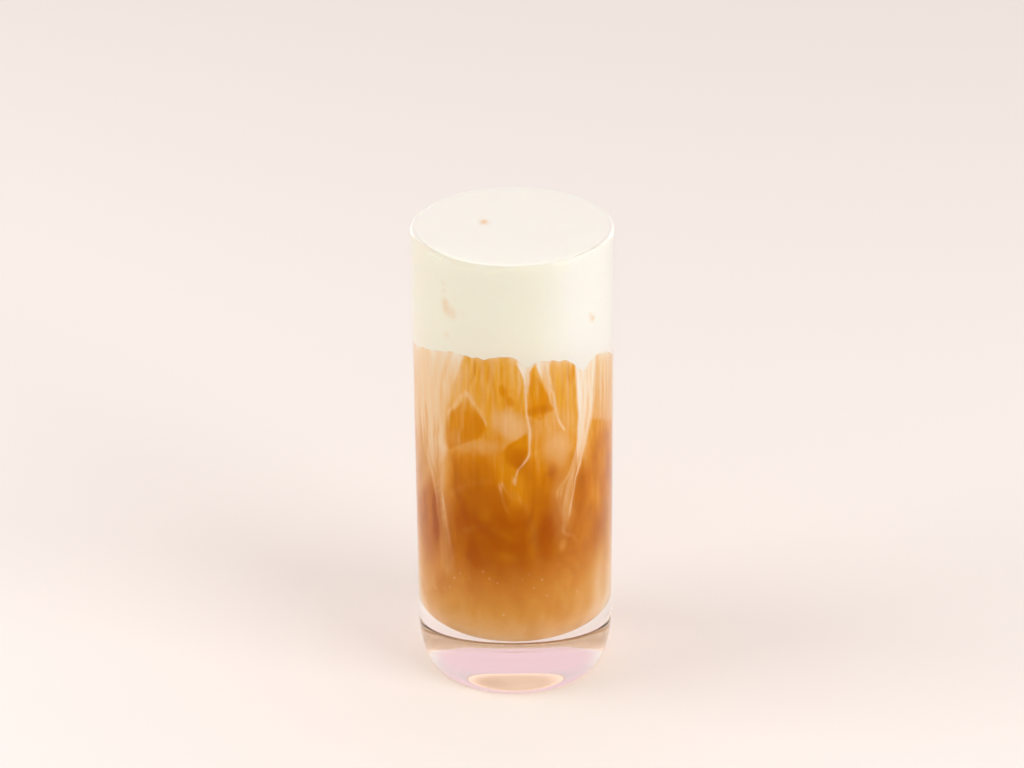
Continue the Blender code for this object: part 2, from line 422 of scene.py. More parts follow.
def join(name, parts):
    """One piece from closed parts, each a set of rings of the shape (rows, columns, 3).

    The first and last ring of a part are single poles. A part whose rings run outwards on top
    and down the outside faces outwards.
    """
    points = []
    faces = []
    start = 0
    for rings in parts:
        triangles, quads = ring_faces(*rings.shape[:2])
        faces += (triangles + start).tolist() + (quads + start).tolist()
        points.append(in_a_row(rings))
        start += len(points[-1])
    mesh = bpy.data.meshes.new(name)
    mesh.from_pydata(np.concatenate(points), [], faces)
    mesh.shade_smooth()
    obj = bpy.data.objects.new(name, mesh)
    bpy.context.scene.collection.objects.link(obj)
    return obj


def ring_surface(name, rings, fields=None):
    """A piece of one part, which keeps each field as a number on its points."""
    piece = join(name, [rings])
    for key, field in (fields or {}).items():
        attribute = piece.data.attributes.new(key, "FLOAT", "POINT")
        attribute.data.foreach_set("value", in_a_row(field).astype(np.float32))
    return piece


def turned_rings(profile, count):
    """Rings (r cos a, r sin a, z) for each profile point (r, z) and column angle a."""
    a = columns(count)
    radius = profile[:, :1]
    height = np.repeat(profile[:, 1:], count, 1)
    return np.stack([radius * np.cos(a), radius * np.sin(a), height], -1)


def inside_floor(lift, flat_points=16, round_points=28):
    """Inside floor from the axis out: a parabola's shallow dish, then a quarter circle to the wall."""
    flat = INNER_RADIUS - FLOOR_FILLET
    share = np.linspace(0.0, 1.0, flat_points, endpoint=False)
    dish = np.stack([flat * share, FLOOR_HEIGHT + lift - FLOOR_DISH * (1.0 - share ** 2)], 1)
    centre = (flat, FLOOR_HEIGHT + FLOOR_FILLET)
    radius = FLOOR_FILLET - lift
    return np.concatenate([dish, arc(centre, (radius, radius), -90.0, 0.0, round_points)])


def make_glass():
    """The glass, turned: inside floor and wall, half-round rim, outside, heel, foot and punt.

    The heel is an ellipse that ends HEEL_END degrees down, at the table. The punt is the bell
    z = d/2 (1 + cos(pi (r/R)^b)).
    """
    lip = WALL / 2.0
    rim = arc((GLASS_RADIUS - lip, GLASS_HEIGHT - lip), (lip, lip), 180.0, 0.0, 17)
    heel_radii = (HEEL_INSET, HEEL_HEIGHT / math.sin(math.radians(HEEL_END)))
    heel = arc((GLASS_RADIUS - HEEL_INSET, HEEL_HEIGHT), heel_radii, 0.0, -HEEL_END, 36)
    share = np.linspace(1.0, 0.0, 48)
    crown = 0.5 * (1.0 + np.cos(math.pi * share ** PUNT_BREADTH))
    punt = np.stack([PUNT_RADIUS * share, PUNT_DEPTH * crown], 1)
    floor = inside_floor(0.0)
    inside = line(floor[-1], rim[0], 12)
    outside = line(rim[-1], heel[0], 12)
    foot = line(heel[-1], punt[0], 4)
    profile = np.concatenate([floor[:-1], inside, rim[:-1], outside, heel[:-1], foot, punt])
    return ring_surface("highball_glass", turned_rings(profile, GLASS_COLUMNS))


def foam_underside(radius, angle):
    """Height of the foam's underside at a radius and an angle in radians.

    At the wall it is a mean level plus a cosine for each wave. Inwards it blends with the
    square of the radius to a level in the middle. Each drip takes off a bell at the wall, and
    a ripple of fine waves makes the edge uneven.
    """
    at_wall = UNDERSIDE_AT_WALL
    for times, height, crest in WAVES:
        at_wall = at_wall + height * np.cos(times * (angle - math.radians(crest)))
    share = radius / INNER_RADIUS
    level = UNDERSIDE_IN_MIDDLE + (at_wall - UNDERSIDE_IN_MIDDLE) * share ** 2
    fine = ripple(np.degrees(angle), np.zeros_like(angle), 51, 18, 60, 0.0, 20)
    level = level + FINE_WAVE * fine * share ** 6
    for place, length, half_width in DRIPS:
        turn = turn_from(np.degrees(angle), place)
        level = level - length * bell(turn, 0.0, half_width) * share ** 6
    return level


def ice_places():
    """The centre, turn and side of each ice cube."""
    places = []
    for angle, out, height, side, turns in ICE:
        a = math.radians(angle + FRONT)
        centre = (out * MM * math.cos(a), out * MM * math.sin(a), height * MM)
        turn = Euler([math.radians(t) for t in turns]).to_matrix()
        places.append((np.array(centre), np.array(turn), side * MM))
    return places


def ice_distance(points):
    """Distance from each point to the nearest ice cube, as rounded boxes.

    In a cube's own axes it is |max(q, 0)| + min(max(q), 0) - r, with q = |p| - (s/2 - r).
    """
    nearest = np.full(points.shape[:-1], 1.0)
    for centre, turn, side in ice_places():
        local = np.abs((points - centre) @ turn)
        outside = local - (side / 2.0 - ICE_ROUND)
        far = np.linalg.norm(np.maximum(outside, 0.0), axis=-1)
        deep = np.minimum(outside.max(-1), 0.0)
        nearest = np.minimum(nearest, far + deep - ICE_ROUND)
    return nearest


def smooth_line(points, steps=8):
    """A Catmull-Rom curve through points, with a number of steps between each two."""
    knots = np.array(points, float)
    knots = np.concatenate([2 * knots[:1] - knots[1:2], knots, 2 * knots[-1:] - knots[-2:-1]])
    t = np.linspace(0.0, 1.0, steps, endpoint=False)[:, None]
    pieces = []
    for a, b, c, d in zip(knots, knots[1:], knots[2:], knots[3:]):
        cubic = (3 * b - a - 3 * c + d) * t ** 3
        pieces.append(0.5 * (2 * b + (c - a) * t + (2 * a - 5 * b + 4 * c - d) * t ** 2 + cubic))
    return np.concatenate(pieces + [knots[-2:-1]])


def strand(angle, height, row):
    """Cream of one strand: exp(-(d/w)^2), d the distance in mm along the wall to its curve.

    The half width w and the cream pass evenly from the top's values to the end's. A ripple
    makes the strand fainter and stronger along its way.
    """
    start_width, end_width, start_cream, end_cream, points = row
    curve = smooth_line(points, 5) * (DEGREE, 1.0)
    low, high = curve.min(0) - 3.0, curve.max(0) + 3.0
    x = angle * DEGREE
    close = (x > low[0]) & (x < high[0]) & (height > low[1]) & (height < high[1])
    here = np.stack([x[close], height[close]], 1)
    best = np.zeros(len(here))
    for start, end, share in zip(curve, curve[1:], np.linspace(0.0, 1.0, len(curve) - 1)):
        along = np.clip((here - start) @ (end - start) / ((end - start) @ (end - start)), 0.0, 1.0)
        near = ((here - start - along[:, None] * (end - start)) ** 2).sum(1)
        width = start_width + (end_width - start_width) * share
        cream = start_cream + (end_cream - start_cream) * share
        best = np.maximum(best, cream * np.exp(-near / width ** 2))
    found = np.zeros(angle.shape)
    found[close] = best * (0.82 + 0.18 * ripple(angle[close], height[close], 7, 1, 20, 0.9))
    return found


def region(angle, height, rows, soft):
    """1 inside a region and 0 outside, with an edge of the given softness in mm.

    Inside is |a - c| < w, its middle c and half its width w smooth in height through the rows.
    """
    heights, middles, halves = smooth_line(sorted(rows)).T
    past = np.maximum(heights[0] - height, 0.0) + np.maximum(height - heights[-1], 0.0)
    away = np.abs(angle - np.interp(height, heights, middles)) - np.interp(height, heights, halves)
    return 1.0 - smooth(-soft, soft, away * DEGREE + past)


def plume(angle, height, rows, seed):
    """Cream of one plume, at s = (a - c) / w from its middle c, w half its width at a height.

    It is even across up to |s| = 1, with threads that run along it, a sum of cos(k s + m h + p),
    and a paler line along both edges.
    """
    heights, middles, halves, creams = smooth_line(sorted(rows)).T
    half = np.maximum(np.interp(height, heights, halves), 0.3)
    share = (angle - np.interp(height, heights, middles)) / half
    draw = np.random.default_rng(seed)
    spread = max(row[2] for row in rows)
    threads = np.zeros(angle.shape)
    for _ in range(16):
        times = draw.uniform(3.0, 1.2 * spread) * (-1.0) ** draw.integers(2)
        threads = threads + np.cos(times * share + draw.uniform(-0.05, 0.05) * height + draw.uniform(0, 6.3))
    cream = np.interp(height, heights, creams)
    depth = (0.62 - 0.40 * cream) * smooth(0.5, 6.0, half)
    threads = 1.0 - depth * smooth(1.4, -1.4, threads * math.sqrt(2.0 / 16))
    inside = 1.0 - smooth(0.84, 1.16, np.abs(share))
    from_edge = (np.abs(share) - 0.94) * half * DEGREE
    edge = 0.40 * bell(from_edge, 0.0, 0.6)
    return cream * np.clip(inside * threads + edge, 0.0, 1.0)


def drift(angle, height):
    """How far the streaks wander from their drawn courses, in degrees and in mm of height."""
    aside = 0.7 * ripple(angle, height, 3, 1, 6, 0.10) + 0.25 * ripple(angle, height, 5, 2, 12, 0.80)
    return aside, 0.5 * ripple(angle, height, 4, 2, 9, 0.12)


def drawn_at(angle, height, repeat):
    """Angle and height in the drawing of the front for a point, and how far it holds there."""
    centre, across, drop, reach = repeat
    turn = turn_from(angle, centre)
    return turn / across, height + drop, 1.0 - smooth(reach - 6.0, reach + 6.0, np.abs(turn))


def curtain(angle, height, under_foam, streak, row):
    """Cream of one curtain: threads of the streaks that thin out downwards.

    Across it is exp(-u^4). Next to the foam the threads merge by exp(-d/l), d the distance under
    the foam in mm.
    """
    at, wide, low, strength = row
    across = np.exp(-(np.abs(angle - at) / wide) ** 4)
    hang = smooth(low, 119.0, height + 4.0 * streak)
    thread = 0.35 + 0.65 * smooth(-1.1, 1.3, streak)
    merge = np.exp(-under_foam / (0.5 + 5.0 * strength))
    return across * np.maximum(strength * hang * thread, min(1.0, 2.4 * strength) * merge)


def painted_foot_glow(angle, height, behind):
    """How strongly the tea's foot is painted to glow, a painted light for the light that comes down
    through the tea.

    It is a bell in height on the flat floor and up the back, weaker in a band low at the back
    and on the floor's left half. A fainter bell up the front, stronger to the right and in the
    corners, and a thin ring round the floor's edge are added.
    """
    turned = np.abs(angle)
    corner = smooth(44.0, 64.0, turned) * (1.0 - behind)
    right = smooth(0.0, 28.0, angle)
    front = (0.08 + 0.08 * right + 0.12 * corner) * (1.0 - behind) * bell(height, 21.0, 6.0)
    band = smooth(105.0, 150.0, turned) * bell(height, 19.4, 1.2)
    floor = height < 17.05
    left = floor * smooth(-10.0, -60.0, angle) * smooth(-175.0, -120.0, angle)
    lit = 0.53 * np.maximum(behind, floor) * bell(height, 16.0, 8.0)
    return lit * (1.0 - 0.6 * band - 0.6 * left) + front + bell(height, 17.3, 0.3)


def tea_fields(angle, height):
    """How dark, milky and creamy the tea looks at each angle from the front and height in mm.

    The still tea's values follow the height, with slow clouds. Regions and patches
    exp(-(u^2 + v^2)^2) change them, and the ice adds milkiness by exp(-d/s) of its distance d.
    The cream is the greatest of plumes, strands and curtains. High up, fine streaks are added.
    The flanks are painted paler, as painted light at the glass's sides, and the back low down is
    painted paler and milkier, as painted light. A thin dark line of painted shade lies under the
    foam's edge. foot is the painted glow of the tea's foot.
    """
    cloud = ripple(angle, height, 11, 1, 7, 0.12)
    small = ripple(angle, height, 12, 6, 24, 0.40, 24)
    level = height + 1.1 * cloud
    heights, darks, milks = np.array(BREW).T
    dark = np.interp(level, heights, darks) + 0.03 * small
    milk = np.interp(level, heights, milks)
    aside, up = drift(angle, height)
    sway = angle + aside
    lift = height + up
    streak = ripple(sway, height, 21, 34, 120, 0.035, 30)
    around = np.radians(angle + FRONT)
    under_foam = np.maximum(foam_underside(INNER_RADIUS, around) / MM - height, 0.0)
    cream = np.zeros(angle.shape)
    for repeat in DRAWN:
        a, h, holds = drawn_at(sway, lift, repeat)
        for darker, milkier, soft, rows in REGIONS:
            inside = region(a, h, rows, soft) * holds
            dark = dark + darker * inside
            milk = milk + milkier * inside
        for at, middle, wide, tall, lean, darker, milkier in PATCHES:
            near = ((a - at - lean * (h - middle)) / wide) ** 2 + ((h - middle) / tall) ** 2
            spot = np.exp(-near ** 2) * holds
            dark = dark + darker * spot
            milk = milk + milkier * spot
        drawn = np.zeros(angle.shape)
        for row in CURTAINS:
            drawn = np.maximum(drawn, curtain(a, h, under_foam, streak, row))
        for seed, rows in enumerate(PLUMES, 61):
            drawn = np.maximum(drawn, plume(a, h, rows, seed))
        for row in STRANDS:
            drawn = np.maximum(drawn, strand(a, h, row))
        cream = cream + drawn * holds
    wall = np.stack([TEA_RADIUS * np.cos(around), TEA_RADIUS * np.sin(around), height * MM], -1)
    ice = np.exp(-np.maximum(ice_distance(wall), 0.0) / ICE_HALO) * smooth(76.0, 88.0, height)
    behind = smooth(75.0, 100.0, np.abs(angle))
    # Painted light: the back low down is painted paler and milkier, so that it shows lighter through the
    # glass's foot
    painted_light_back = behind * (1.0 - smooth(34.0, 54.0, height))
    dark = dark - 0.04 * ice - 0.40 * painted_light_back + 0.11 * streak * smooth(98.0, 110.0, height)
    # Painted light: the flanks are painted paler, for the paler edges of the drink at the glass's sides
    flank = smooth(66.0, 80.0, np.abs(angle)) * (1.0 - smooth(80.0, 96.0, np.abs(angle)))
    dark = dark - (0.16 + 0.14 * smooth(70.0, 62.0, height)) * flank * (1.0 - smooth(84.0, 96.0, height))
    # Painted shade: a thin dark line just under the foam's edge
    dark = dark + 0.14 * np.exp(-under_foam / 1.2)
    streaked = 0.14 * np.maximum(streak, 0.0) * smooth(84.0, 100.0, height)
    return {
        "dark": np.clip(dark, 0.0, 1.0),
        "milk": np.clip(milk + 0.10 * ice + 0.60 * painted_light_back + streaked, 0.0, 1.0),
        "cream": np.clip(cream, 0.0, 1.0),
        "foot": painted_foot_glow(angle, height, behind),
    }


def make_tea():
    """The tea: its top just inside the foam, a straight side, and the glass's rounded floor."""
    a = columns(TEA_COLUMNS)
    floor = inside_floor(-REACH, 6, 18)[::-1]
    top_edge = foam_underside(INNER_RADIUS, a) + TEA_UNDER_FOAM
    share = np.linspace(0.0, 1.0, 6, endpoint=False)[:, None]
    top_height = foam_underside(TEA_RADIUS * share, a) + TEA_UNDER_FOAM * share ** 6
    top = np.stack([TEA_RADIUS * share * np.cos(a), TEA_RADIUS * share * np.sin(a), top_height], -1)
    down = np.linspace(0.0, 1.0, TEA_ROWS, endpoint=False)[:, None]
    side_height = top_edge * (1.0 - down) + floor[0, 1] * down
    round_x = np.broadcast_to(TEA_RADIUS * np.cos(a), side_height.shape)
    round_y = np.broadcast_to(TEA_RADIUS * np.sin(a), side_height.shape)
    side = np.stack([round_x, round_y, side_height], -1)
    rings = np.concatenate([top, side, turned_rings(floor, TEA_COLUMNS)])
    angle = turn_from(np.degrees(np.arctan2(rings[..., 1], rings[..., 0])), FRONT)
    return ring_surface("milky_tea", rings, tea_fields(angle, rings[..., 2] / MM))


def foam_cover(angle):
    """How far the foam laps over the rim: the angle on the lip's half circle where it ends.

    180 is the inside and 0 the outside of the lip. It ends just inside the lip at the front,
    and on the outside elsewhere, where it runs unevenly. The front counts by exp(-|a/64|^5).
    """
    front = np.exp(-(np.abs(turn_from(angle, -4.0)) / 64.0) ** 5)
    uneven = 9.0 * ripple(angle, np.zeros_like(angle), 31, 2, 14, 0.0)
    outside = 30.0
    inside = 152.0
    return outside + uneven * (1.0 - front) + (inside - outside) * front, front


def make_foam():
    """The foam: a nearly flat top that laps over the lip, the side and the wavy underside.

    The top falls by s^8 from the middle to the lip, less a bell-shaped groove just inside the lip
    at the front, and follows the lip's half circle just above it. It comes back just inside the
    glass, so that no air shows between them.

    tan are the spots, and walled is 1 where the foam lies against the glass. thick is where that
    foam is painted whiter, a painted light from the right, from the right of the front to the back,
    and shade a painted grey line of shade at the lip.
    """
    a = columns(FOAM_COLUMNS)
    angle = turn_from(np.degrees(a), FRONT)
    lip = WALL / 2.0
    middle = (GLASS_RADIUS - lip, GLASS_HEIGHT - lip)
    end, front = foam_cover(angle)
    meet = np.radians(np.maximum(112.0, end))
    outer = lip + FILM
    meet_radius = middle[0] + outer * np.cos(meet)
    meet_height = middle[1] + outer * np.sin(meet)
    share = np.concatenate([np.linspace(0.0, 0.94, 22), np.linspace(0.945, 0.995, 11)])[:, None]
    radius = meet_radius * share
    top_height = FOAM_TOP - (FOAM_TOP - meet_height) * share ** 8
    top_height = top_height - GROOVE * bell(share, GROOVE_AT, GROOVE_WIDTH) * front
    dimple = ripple(angle[None, :], 1000.0 * radius, 33, 1, 4, 0.35, 10) * (1.0 - share ** 4)
    top_height = top_height - DIMPLE * (2.0 + dimple) * np.minimum(1.0, 4.0 * share)
    top = np.stack([radius * np.cos(a), radius * np.sin(a), top_height], -1)

    sweep = np.linspace(0.0, 1.0, 8)[:, None]
    out_angle = meet + (np.radians(end) - meet) * sweep
    back_angle = np.radians(end) + (math.pi - np.radians(end)) * sweep
    film = []
    for turn, reach in ((out_angle, outer), (back_angle, lip - REACH)):
        away = middle[0] + reach * np.cos(turn)
        film.append(np.stack([away * np.cos(a), away * np.sin(a), middle[1] + reach * np.sin(turn)], -1))

    share = (1.0 - np.linspace(0.0, 1.0, 12) ** 1.5)[:, None]
    height = foam_underside(FOAM_RADIUS * share, a)
    under = np.stack([FOAM_RADIUS * share * np.cos(a), FOAM_RADIUS * share * np.sin(a), height], -1)
    start = np.stack([FOAM_RADIUS * np.cos(a), FOAM_RADIUS * np.sin(a), np.full(len(a), middle[1])], -1)
    down = np.linspace(0.0, 1.0, FOAM_ROWS, endpoint=False)[1:, None, None]
    side = start * (1.0 - down) + under[:1] * down
    rings = np.concatenate([top, *film, side, under])

    angle = turn_from(np.degrees(np.arctan2(rings[..., 1], rings[..., 0])), FRONT)
    tan = np.zeros(angle.shape)
    on_side = np.hypot(rings[..., 0], rings[..., 1]) > 0.95 * INNER_RADIUS
    ragged = 0.8 + 0.25 * ripple(angle, rings[..., 2] / MM, 35, 12, 40, 0.8, 30)
    for at, up, wide, strength in FOAM_SPOTS:
        near = (turn_from(angle, at) * DEGREE) ** 2 + (rings[..., 2] / MM - up) ** 2
        tan = np.maximum(tan, strength * ragged * np.exp(-near / wide ** 2) * on_side)
    x, y, wide, deep = TOP_SPOT
    near = ((rings[..., 0] / MM - x) / wide) ** 2 + ((rings[..., 1] / MM - y) / deep) ** 2
    tan = np.maximum(tan, np.exp(-near) * (rings[..., 2] > FOAM_EDGE_HEIGHT))
    walled = np.ones(angle.shape) * on_side * (rings[..., 2] < GLASS_HEIGHT - lip)
    # Painted light: the foam against the glass is painted whiter from the right of the front to the back,
    # where the light from the right falls
    thick = smooth(8.0, 42.0, angle) * (1.0 - smooth(120.0, 160.0, angle))
    from_lip = np.hypot(rings[..., 0], rings[..., 1]) - middle[0]
    shade = 0.40 * front * bell(from_lip, 0.0, 1.2 * MM) * smooth(148.1, 149.2, rings[..., 2] / MM)
    foam = ring_surface("milk_foam", rings, {
        "tan": np.clip(tan, 0.0, 1.0), "walled": walled, "thick": thick, "shade": shade})
    foam.data.set_sharp_from_angle(angle=math.radians(60.0))
    return foam


def tube_rings(path, out, half_width, half_depth, sides=8):
    """Rings of a flat tube along a path on the wall: an ellipse across it and outwards.

    The ellipse has the half width along the wall, square to the path, and the half depth
    outwards. Both are given for each point, and end at nothing.
    """
    along = np.gradient(path, axis=0)
    along /= np.linalg.norm(along, axis=1, keepdims=True)
    across = np.cross(out, along)
    t = np.linspace(0.0, 2.0 * math.pi, sides, endpoint=False)[None, :, None]
    wide = across[:, None] * half_width[:, None, None] * np.cos(t)
    deep = out[:, None] * half_depth[:, None, None] * np.sin(t)
    return path[:, None] + wide + deep


def on_wall(points, radius):
    """Places and outward directions on the wall for angles from the front and heights in mm."""
    a = np.radians(points[:, 0] + FRONT)
    out = np.stack([np.cos(a), np.sin(a), np.zeros(len(a))], 1)
    place = out * radius
    place[:, 2] = points[:, 1] * MM
    return place, out


def make_strands():
    """The sharp strands of cream, flat tubes that lie in the tea's surface.

    Their width swells and narrows by a sine along the way and ends at nothing.
    """
    parts = []
    for centre, across, drop, _ in DRAWN:
        for start_width, end_width, _, _, points in [STRANDS[i] for i in SHARP]:
            curve = smooth_line(points, 10)
            curve = np.stack([centre + across * curve[:, 0], curve[:, 1] - drop], 1)
            curve = curve - np.stack(drift(curve[:, 0], curve[:, 1]), 1)
            share = np.linspace(0.0, 1.0, len(curve))
            width = SHARP_WIDTH * (start_width + (end_width - start_width) * share)
            width = width * (1.0 + 0.45 * np.sin(23.0 * share + centre + start_width * 40.0))
            width = np.maximum(width * np.minimum(1.0, 6.0 * (1.0 - share)) ** 0.5, 0.0) * MM
            path, out = on_wall(curve, TEA_RADIUS)
            parts.append(tube_rings(path, out, width, np.minimum(0.2 * width, SHARP_DEPTH)))
    strands = join("cream_strands", parts)
    strands.data.set_sharp_from_angle(angle=math.radians(60.0))
    return strands


def ball_rings(centre, radius, rows=7, sides=10):
    """Rings of a ball, c + r (cos u cos a, cos u sin a, sin u), u from pole to pole."""
    up = np.radians(np.linspace(90.0, -90.0, rows))[:, None]
    a = columns(sides)
    ball = np.stack([np.cos(up) * np.cos(a), np.cos(up) * np.sin(a), np.sin(up) * np.ones_like(a)], -1)
    return np.asarray(centre) + radius * ball


def make_bubbles():
    """Fine bubbles of milk at the wall, low in the glass, spread evenly by seeded draws."""
    draw = np.random.default_rng(41)
    parts = []
    for number in range(BUBBLES):
        angle = 360.0 * (number + draw.uniform()) / BUBBLES
        height = BUBBLES_FROM + BUBBLES_UP * draw.uniform() ** 1.1
        centre, _ = on_wall(np.array([[angle, height]]), TEA_RADIUS - REACH)
        parts.append(ball_rings(centre[0], draw.uniform(*BUBBLE_RADII)))
    return join("milk_bubbles", parts)


def make_ice():
    """Rounded ice cubes: a direction n is pushed out to n / |n|_8 of half the side."""
    made = []
    for number, (centre, turn, side) in enumerate(ice_places(), 1):
        n = ball_rings((0.0, 0.0, 0.0), 1.0, 25, 36)
        cube = n / (np.abs(n) ** 8).sum(-1, keepdims=True) ** 0.125 * side / 2.0
        made.append(ring_surface(f"ice_cube_{number}", cube @ turn.T + centre))
    return made


# Tea colours from lightest to darkest, without and with milk, and the cream
CLEAR_TEA = ((0.0, "EEAC3E"), (0.35, "E18F08"), (0.62, "CD7700"), (1.0, "AD5500"))
MILKY_TEA = ((0.0, "F5D0A2"), (0.5, "E2A75E"), (1.0, "CC7C36"))
CREAM = "FBF1E0"
# Colour of a painted glow, which stands in for the light that comes down through the tea
# and shows at its floor and low at its back
PAINTED_FOOT_GLOW = "DFCBC8"


def glass_material():
    """Soda-lime drinking glass, pressed and fire-polished: colourless, clear and glossy.

    The low specular tint keeps the mirrored floor from veiling the drink at the glass's sides.
    """
    made, _, shader = new_material("clear_soda_lime_glass")
    shader.inputs["Base Color"].default_value = srgb("FFFFFF")
    shader.inputs["Roughness"].default_value = 0.0
    shader.inputs["IOR"].default_value = 1.52
    shader.inputs["Transmission Weight"].default_value = 1.0
    shader.inputs["Specular Tint"].default_value = (0.06, 0.06, 0.06, 1.0)
    return made


def tea_material():
    """Milky oolong tea over ice: cloudy amber, with cream streaks that sink from the foam."""
    made, tree, shader = new_material("milky_oolong_tea")
    read = {key: add(tree, "ShaderNodeAttribute", {"attribute_name": key}).outputs["Fac"]
            for key in ("dark", "milk", "cream", "foot")}
    place = add(tree, "ShaderNodeTexCoord").outputs["Object"]
    upright = add(tree, "ShaderNodeMapping", {}, {"Vector": place, "Scale": (1.0, 1.0, 0.08)})
    fine = add(tree, "ShaderNodeTexNoise", {}, {
        "Vector": upright.outputs["Vector"], "Scale": 1.0 / (1.3 * MM), "Detail": 3.0, "Distortion": 0.4})
    grain = add(tree, "ShaderNodeMapRange", {}, {
        "Value": fine.outputs["Fac"], "From Min": 0.3, "From Max": 0.7, "To Min": 0.75, "To Max": 1.30})
    cream = add(tree, "ShaderNodeMath", {"operation": "MULTIPLY", "use_clamp": True}, {
        0: read["cream"], 1: grain.outputs[0]})

    # Wisps, only where the tea is neither dark nor milky
    wisp = add(tree, "ShaderNodeMapRange", {}, {
        "Value": fine.outputs["Fac"], "From Min": 0.3, "From Max": 0.7, "To Min": 0.13, "To Max": -0.13})
    dull = add(tree, "ShaderNodeMath", {"operation": "MULTIPLY_ADD", "use_clamp": True}, {
        0: read["milk"], 1: 1.4, 2: read["dark"]})
    bright = add(tree, "ShaderNodeMath", {"operation": "SUBTRACT"}, {0: 1.0, 1: dull.outputs[0]})
    wisps = add(tree, "ShaderNodeMath", {"operation": "MULTIPLY"}, {0: wisp.outputs[0], 1: bright.outputs[0]})

    # Slow swirls, weaker where the tea is milky
    swirl = add(tree, "ShaderNodeMapping", {}, {"Vector": place, "Scale": (1.0, 1.0, 0.6)})
    marble = add(tree, "ShaderNodeTexNoise", {}, {
        "Vector": swirl.outputs["Vector"], "Scale": 1.0 / (9.0 * MM), "Detail": 6.0, "Roughness": 0.62,
        "Distortion": 1.8})
    wave = add(tree, "ShaderNodeMapRange", {}, {
        "Value": marble.outputs["Fac"], "From Min": 0.25, "From Max": 0.75, "To Min": -0.15, "To Max": 0.15})
    calm = add(tree, "ShaderNodeMath", {"operation": "MULTIPLY_ADD"}, {0: read["milk"], 1: -0.7, 2: 1.0})
    waves = add(tree, "ShaderNodeMath", {"operation": "MULTIPLY"}, {0: wave.outputs[0], 1: calm.outputs[0]})

    uneven = add(tree, "ShaderNodeMath", {"operation": "ADD"}, {0: wisps.outputs[0], 1: waves.outputs[0]})
    thinned = add(tree, "ShaderNodeMath", {"operation": "MULTIPLY_ADD"}, {
        0: cream.outputs[0], 1: -0.6, 2: read["dark"]})
    darkness = add(tree, "ShaderNodeMath", {"operation": "ADD", "use_clamp": True}, {
        0: thinned.outputs[0], 1: uneven.outputs[0]})
    wisped = add(tree, "ShaderNodeMath", {"operation": "MULTIPLY_ADD"}, {
        0: wisps.outputs[0], 1: -1.4, 2: read["milk"]})
    milkiness = add(tree, "ShaderNodeMath", {"operation": "ADD", "use_clamp": True}, {
        0: cream.outputs[0], 1: wisped.outputs[0]})
    thick = add(tree, "ShaderNodeMath", {"operation": "POWER", "use_clamp": True}, {
        0: cream.outputs[0], 1: 2.4})
    clear = add(tree, "ShaderNodeValToRGB", {}, {0: darkness.outputs[0]})
    milky = add(tree, "ShaderNodeValToRGB", {}, {0: darkness.outputs[0]})
    for node, stops in ((clear, CLEAR_TEA), (milky, MILKY_TEA)):
        ramp = node.color_ramp
        while len(ramp.elements) < len(stops):
            ramp.elements.new(0.5)
        for element, (at, colour) in zip(ramp.elements, stops):
            element.position = at
            element.color = behind_glass(colour)
    tea = add(tree, "ShaderNodeMix", {"data_type": "RGBA"}, {
        0: milkiness.outputs[0], 6: clear.outputs[0], 7: milky.outputs[0]})
    creamed = add(tree, "ShaderNodeMix", {"data_type": "RGBA"}, {
        0: thick.outputs[0], 6: tea.outputs[2], 7: behind_glass(CREAM)})
    tree.links.new(creamed.outputs[2], shader.inputs["Base Color"])
    # The tea's foot is painted to glow with this colour, a painted light
    glow = add(tree, "ShaderNodeMix", {"data_type": "RGBA"}, {
        0: read["foot"], 6: srgb("000000"), 7: srgb(PAINTED_FOOT_GLOW)})
    tree.links.new(glow.outputs[2], shader.inputs["Emission Color"])
    shader.inputs["Emission Strength"].default_value = 0.80
    shader.inputs["Roughness"].default_value = 0.35
    shader.inputs["IOR"].default_value = 1.34
    shader.inputs["Specular IOR Level"].default_value = 0.02
    return made


def cream_material(name, deep, pale):
    """Cream or milk in the tea, from a deep to a pale colour: soft, without gloss under the wall."""
    made, tree, shader = new_material(name)
    place = add(tree, "ShaderNodeTexCoord").outputs["Object"]
    cloud = add(tree, "ShaderNodeTexNoise", {}, {
        "Vector": place, "Scale": 1.0 / (3.0 * MM), "Detail": 3.0})
    colour = add(tree, "ShaderNodeMix", {"data_type": "RGBA"}, {
        0: cloud.outputs["Fac"], 6: behind_glass(deep), 7: behind_glass(pale)})
    tree.links.new(colour.outputs[2], shader.inputs["Base Color"])
    shader.inputs["Roughness"].default_value = 0.6
    shader.inputs["Specular IOR Level"].default_value = 0.1
    return made


